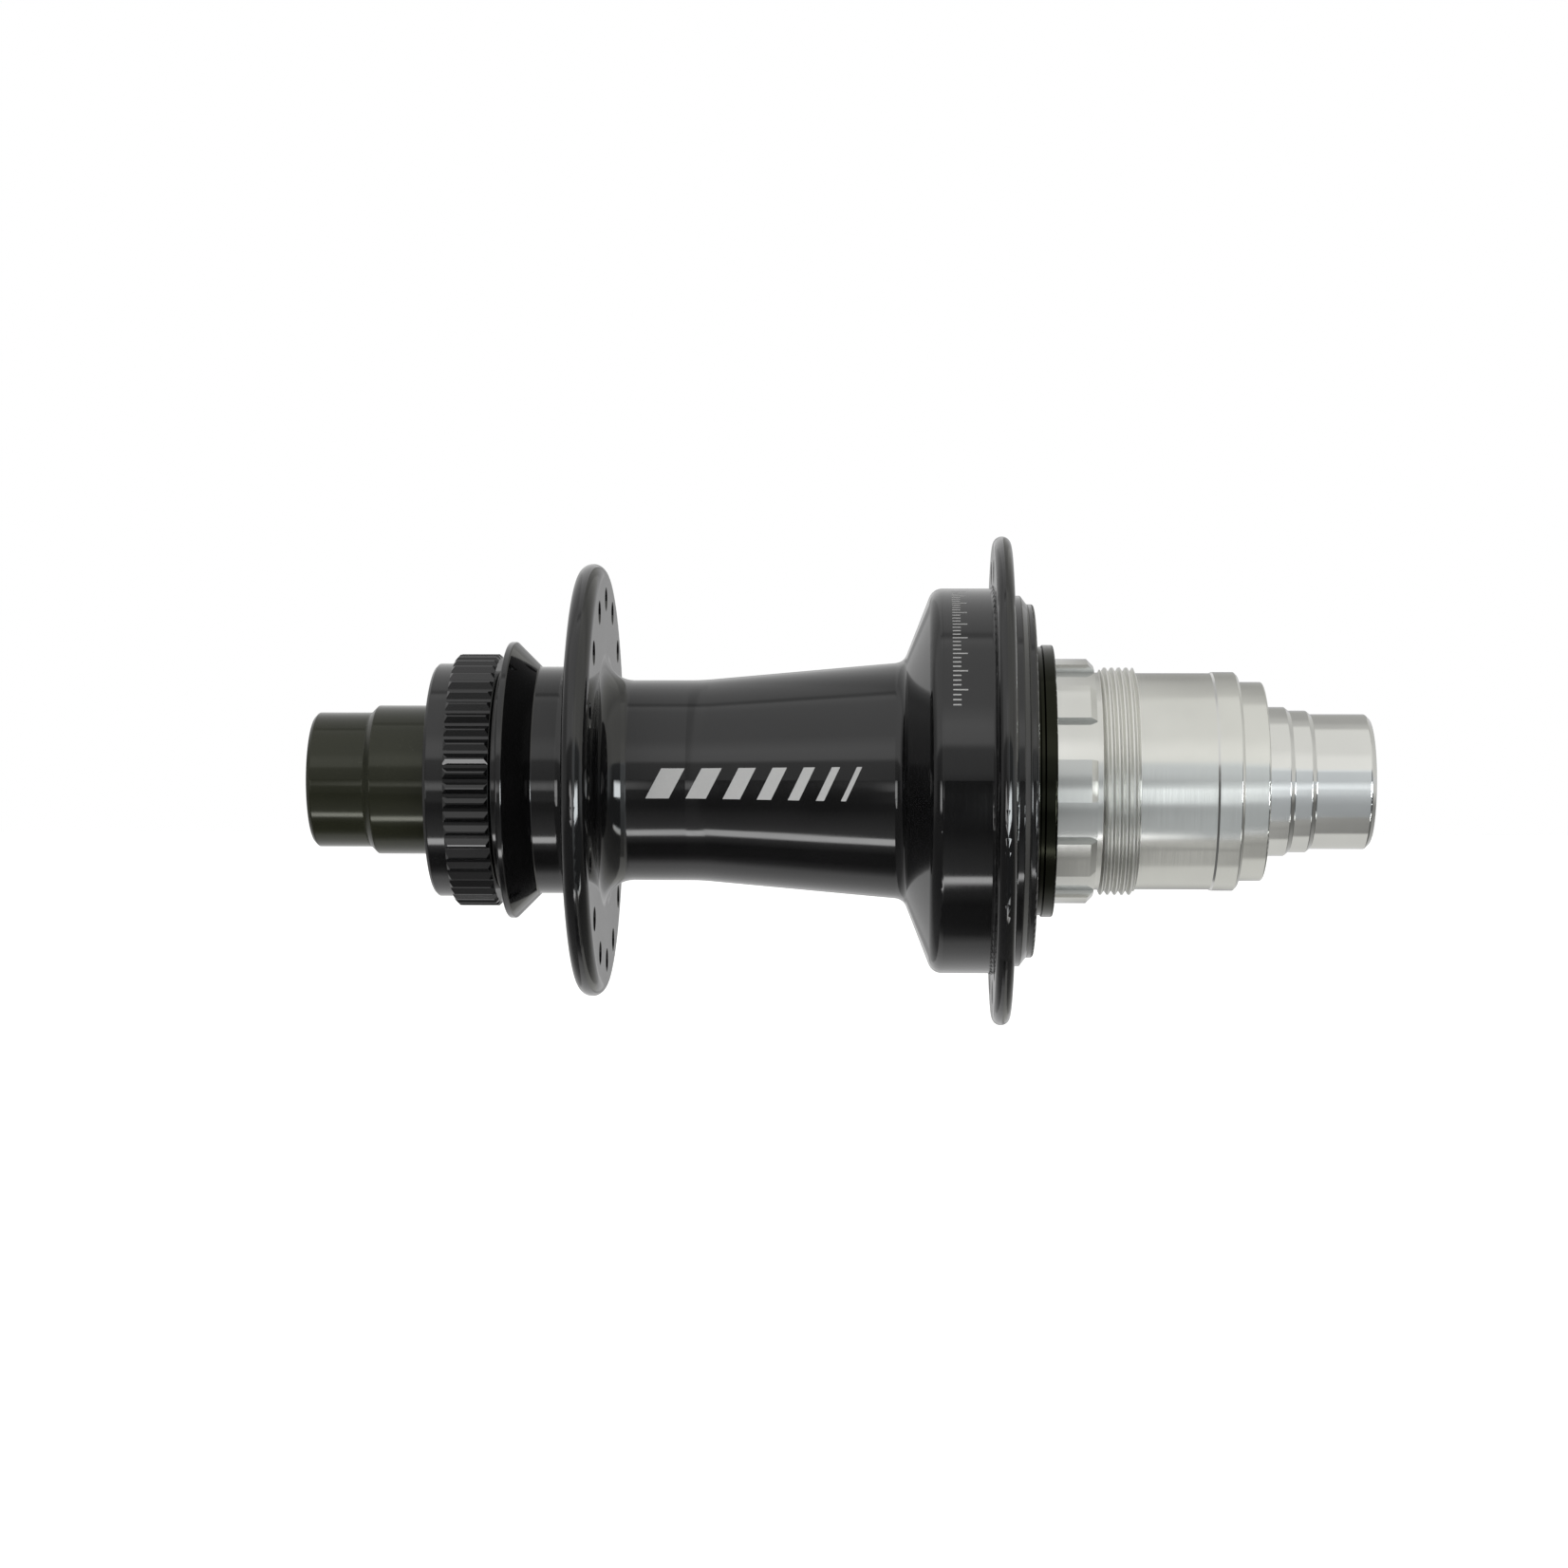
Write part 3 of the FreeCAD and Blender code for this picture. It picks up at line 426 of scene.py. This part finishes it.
# ---- marks on the shell ----------------------------------------------------------------------------
BAND_START_X, BAND_END_X = -26.3 * MM, 3.4 * MM
BAND_TOP, BAND_BOTTOM = 6.6, -10.2  # degrees round the axis
BAND_BAR_WIDTHS = [4.6, 4.0, 3.4, 2.8, 2.2, 1.6, 1.0]  # from left to right, before scaling to the band
BAND_GAP, BAND_SLANT = 2.3 * MM, 2.2 * MM
TICK_START_X, TICK_LENGTHS = 15.6 * MM, (2.0 * MM, 1.1 * MM, 1.1 * MM, 1.1 * MM)
TICK_FIRST, TICK_LAST, TICK_WIDTH = 77.0, 22.0, 0.42  # degrees round the axis
TICK_COUNT = 36
MARK_PROUD, MARK_SUNK = 0.012 * MM, 0.03 * MM
BAR_GRID, TICK_GRID = (4, 10), (4, 2)  # how many faces a mark has along the axis and round it
OUTSIDE_RADIUS = 60.0 * MM
FROST_SIZE, FROST_DEPTH = 0.12 * MM, 0.002 * MM
FROST_DARK, FROST_LIGHT = (0.46, 0.46, 0.46), (0.62, 0.62, 0.62)
FROST_METALLIC, FROST_ROUGHNESS = 0.2, (0.5, 0.7)


def surface_radius(surface, x, angle):
    """Where a line towards the axis meets the shell."""
    outwards = Vector((0, -math.cos(angle), math.sin(angle)))
    hit = surface.ray_cast(Vector((x, 0, 0)) + outwards * OUTSIDE_RADIUS, -outwards)[0]
    return math.hypot(hit.y, hit.z)


def add_plate(vertices, faces, surface, corner_at, grid):
    """Adds a thin closed plate that follows the shell. Corner_at gives (x, angle) for places from 0 to 1."""
    columns, rows = grid
    first, across = len(vertices), columns + 1
    layer = across * (rows + 1)
    for lift in (MARK_PROUD, -MARK_SUNK):
        for j in range(rows + 1):
            for i in range(across):
                x, angle = corner_at(i / columns, j / rows)
                radius = surface_radius(surface, x, angle) + lift
                vertices.append((x, -radius * math.cos(angle), radius * math.sin(angle)))
    rim = [(i, 0) for i in range(columns)] + [(columns, j) for j in range(rows)]
    rim += [(i, rows) for i in range(columns, 0, -1)] + [(0, j) for j in range(rows, 0, -1)]
    for j in range(rows):
        for i in range(columns):
            a = first + j * across + i
            faces.append((a, a + across, a + across + 1, a + 1))
            faces.append((a + layer, a + layer + 1, a + layer + across + 1, a + layer + across))
    ring = [first + j * across + i for i, j in rim]
    for a, b in zip(ring, ring[1:] + ring[:1]):
        faces.append((a, b, b + layer, a + layer))


def add_mark(name, plates, surface, material):
    """Plates on the shell, joined into one piece that turns with it."""
    vertices, faces = [], []
    for corner_at, grid in plates:
        add_plate(vertices, faces, surface, corner_at, grid)
    mesh = bpy.data.meshes.new(name)
    mesh.from_pydata(vertices, [], faces)
    mesh.update()
    mesh.materials.append(material)
    mark = bpy.data.objects.new(name, mesh)
    bpy.context.scene.collection.objects.link(mark)
    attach(mark, "hub_shell")


def slanted_bar(start, end):
    """A bar of the band: its places, with the top leaning to the right."""
    def corner_at(u, v):
        lean = BAND_SLANT * (0.5 - v)
        return start + (end - start) * u + lean, math.radians(BAND_TOP + (BAND_BOTTOM - BAND_TOP) * v)
    return corner_at, BAR_GRID


def tick(centre, length):
    """A short line along the axis."""
    def corner_at(u, v):
        return TICK_START_X + length * u, math.radians(centre + TICK_WIDTH * (0.5 - v))
    return corner_at, TICK_GRID


def make_marks():
    """Plain bars on the barrel and ticks on the ratchet's housing, in place of the maker's lettering."""
    material, tree, shader = new_material("etched_mark")
    frost = clouds(tree, FROST_SIZE)
    tree.links.new(mix_colour(tree, frost, FROST_DARK, FROST_LIGHT), shader.inputs["Base Color"])
    tree.links.new(map_range(tree, frost, *HAZE_LIMITS, *FROST_ROUGHNESS), shader.inputs["Roughness"])
    shader.inputs["Metallic"].default_value = FROST_METALLIC
    bump(tree, shader, frost, FROST_DEPTH)
    shell = frame["nodes"]["hub_shell"].data
    corners = [vertex.co for vertex in shell.vertices]
    surface = BVHTree.FromPolygons(corners, [tuple(face.vertices) for face in shell.polygons])
    free = BAND_END_X - BAND_START_X - BAND_SLANT - BAND_GAP * (len(BAND_BAR_WIDTHS) - 1)
    bars, x = [], BAND_START_X + BAND_SLANT / 2
    for width in BAND_BAR_WIDTHS:
        scaled = width * free / sum(BAND_BAR_WIDTHS)
        bars.append(slanted_bar(x, x + scaled))
        x += scaled + BAND_GAP
    add_mark("barrel_mark", bars, surface, material)
    step = (TICK_LAST - TICK_FIRST) / (TICK_COUNT - 1)
    ticks = [tick(TICK_FIRST + i * step, TICK_LENGTHS[i % len(TICK_LENGTHS)]) for i in range(TICK_COUNT)]
    add_mark("housing_ticks", ticks, surface, material)


# ---- the scene -------------------------------------------------------------------------------------
def dress(materials):
    for row in frame["record"]["subparts"]:
        mesh = frame["nodes"][row["node"]].data
        mesh.materials.clear()
        mesh.materials.append(materials[row["material_slot"]])


make_camera()
make_floor()
make_world()
bpy.context.scene.view_settings.view_transform = "Standard"
dress(make_materials())
make_marks()
